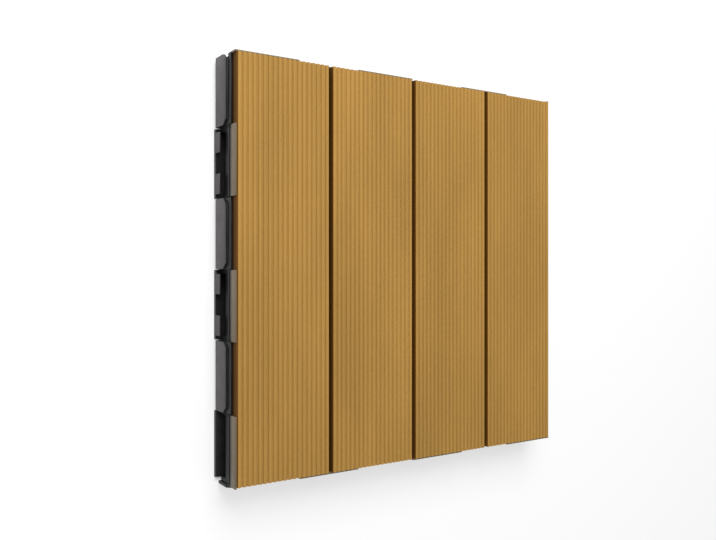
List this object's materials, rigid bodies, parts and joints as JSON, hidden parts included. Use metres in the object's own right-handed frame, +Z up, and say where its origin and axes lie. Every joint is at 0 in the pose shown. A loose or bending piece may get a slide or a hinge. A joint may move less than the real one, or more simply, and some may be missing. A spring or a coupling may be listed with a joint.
{
  "type": "interlocking deck tile",
  "caption": "Square deck tile: ribbed composite boards snapped onto a moulded base with tongues and sockets on every edge.",
  "frame": {"origin": "middle of the underside, on the ground", "axes": "+Z up to the walking face, +Y along the boards, +X across them"},
  "size_m": [0.304, 0.304, 0.0345],
  "materials": {
    "board": "matte wood-plastic composite, golden brown, ribbed along its length",
    "base": "black injection-moulded polypropylene, fine satin"
  },
  "bodies": {
    "root": {"slat_1": "board", "slat_2": "board", "slat_3": "board", "slat_4": "board", "base_grid": "base"}
  },
  "joints": []
}
